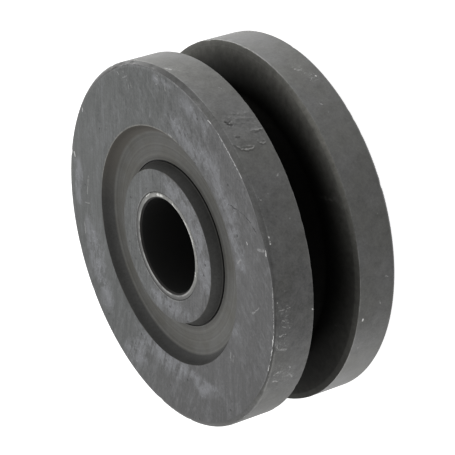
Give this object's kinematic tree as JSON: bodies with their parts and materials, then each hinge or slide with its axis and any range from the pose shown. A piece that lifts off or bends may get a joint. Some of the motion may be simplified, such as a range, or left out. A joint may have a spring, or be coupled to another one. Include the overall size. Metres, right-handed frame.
{
  "type": "grooved track wheel",
  "caption": "Steel track wheel with two thick flanges, a deep flat-bottomed groove, recessed ends and a thin pressed-in bush for an axle.",
  "frame": {"origin": "middle of the lower end face, on the wheel's axis", "axes": "+Z along the axle's line, up out of the upper end; X and Y lie in the end faces and are alike"},
  "size_m": [0.1016, 0.1016, 0.0385],
  "materials": {
    "scaled_steel": "dark heat-treated steel, turned, with rubbed end faces, nicks and scratches",
    "bush_steel": "plain ground steel, bright at the end ring and dark inside"
  },
  "bodies": {
    "root": {"wheel_body": "scaled_steel", "bush": "bush_steel"}
  },
  "joints": []
}
